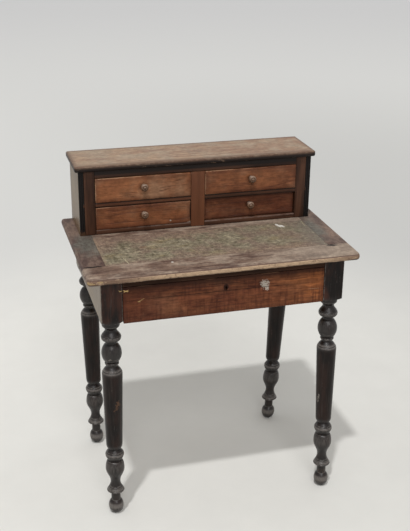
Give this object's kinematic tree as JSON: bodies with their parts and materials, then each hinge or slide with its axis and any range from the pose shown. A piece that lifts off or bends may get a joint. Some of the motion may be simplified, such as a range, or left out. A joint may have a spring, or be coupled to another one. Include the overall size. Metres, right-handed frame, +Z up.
{
  "type": "childrens desk",
  "caption": "Small wooden writing desk on turned legs, with a lockable wide drawer under a leather-skinned top and a raised case of small knobbed drawers along its back edge.",
  "frame": {"origin": "centre of the desk's bounding box, on the floor under the feet", "axes": "+X to the sitter's right, +Y from the sitter towards the back edge with the drawer case, +Z up"},
  "size_m": [0.6, 0.378, 0.7638],
  "materials": {
    "mahogany": "old varnish, red-brown, satin",
    "dark_walnut": "dark stained and varnished",
    "worn_walnut": "worn, weathered and dull",
    "ebonised": "blackened and varnished, rubbed on the edges",
    "plain_wood": "bare, aged",
    "knob_wood": "turned, rubbed by hands",
    "worn_leather": "olive, scuffed and faded",
    "iron": "dull, lightly rusted"
  },
  "bodies": {
    "desk": {"leg_front_left": "ebonised", "leg_front_right": "ebonised", "leg_back_left": "ebonised", "leg_back_right": "ebonised", "side_rail_left": "dark_walnut", "side_rail_right": "dark_walnut", "back_rail": "dark_walnut", "front_top_rail": "dark_walnut", "drawer_runner_left": "plain_wood", "drawer_runner_right": "plain_wood", "top_front_rail": "worn_walnut", "top_back_rail": "worn_walnut", "top_end_left": "worn_walnut", "top_end_right": "worn_walnut", "writing_panel": "worn_walnut", "writing_leather": "worn_leather", "case_side_left": "dark_walnut", "case_side_right": "dark_walnut", "case_back": "plain_wood", "case_bottom": "dark_walnut", "case_top": "worn_walnut", "case_stile_left": "dark_walnut", "case_stile_right": "dark_walnut", "case_centre_stile": "dark_walnut", "case_partition": "plain_wood", "case_shelf_left": "dark_walnut", "case_shelf_right": "dark_walnut", "case_top_rail": "dark_walnut"},
    "main_drawer": {"main_drawer_front": "mahogany", "main_drawer_side_left": "plain_wood", "main_drawer_side_right": "plain_wood", "main_drawer_back": "plain_wood", "main_drawer_bottom": "plain_wood", "lock_case": "iron"},
    "lock_bolt": {"lock_bolt": "iron"},
    "drawer_upper_left": {"drawer_upper_left_front": "mahogany", "drawer_upper_left_side_left": "plain_wood", "drawer_upper_left_side_right": "plain_wood", "drawer_upper_left_back": "plain_wood", "drawer_upper_left_bottom": "plain_wood", "drawer_upper_left_knob": "knob_wood"},
    "drawer_upper_right": {"drawer_upper_right_front": "mahogany", "drawer_upper_right_side_left": "plain_wood", "drawer_upper_right_side_right": "plain_wood", "drawer_upper_right_back": "plain_wood", "drawer_upper_right_bottom": "plain_wood", "drawer_upper_right_knob": "knob_wood"},
    "drawer_lower_left": {"drawer_lower_left_front": "mahogany", "drawer_lower_left_side_left": "plain_wood", "drawer_lower_left_side_right": "plain_wood", "drawer_lower_left_back": "plain_wood", "drawer_lower_left_bottom": "plain_wood", "drawer_lower_left_knob": "knob_wood"},
    "drawer_lower_right": {"drawer_lower_right_front": "mahogany", "drawer_lower_right_side_left": "plain_wood", "drawer_lower_right_side_right": "plain_wood", "drawer_lower_right_back": "plain_wood", "drawer_lower_right_bottom": "plain_wood", "drawer_lower_right_knob": "knob_wood"}
  },
  "joints": [
    {"name": "main_drawer_slide", "type": "slide", "parent": "desk", "child": "main_drawer", "axis": [0, -1, 0], "range_m": [0, 0.22]},
    {"name": "lock_bolt_slide", "type": "slide", "parent": "main_drawer", "child": "lock_bolt", "axis": [0, 0, 1], "range_m": [0, 0.006]},
    {"name": "upper_left_slide", "type": "slide", "parent": "desk", "child": "drawer_upper_left", "axis": [0, -1, 0], "range_m": [-0.014, 0.0735]},
    {"name": "upper_right_slide", "type": "slide", "parent": "desk", "child": "drawer_upper_right", "axis": [0, -1, 0], "range_m": [-0.014, 0.0735]},
    {"name": "lower_left_slide", "type": "slide", "parent": "desk", "child": "drawer_lower_left", "axis": [0, -1, 0], "range_m": [-0.0125, 0.075]},
    {"name": "lower_right_slide", "type": "slide", "parent": "desk", "child": "drawer_lower_right", "axis": [0, -1, 0], "range_m": [-0.0045, 0.083]}
  ]
}
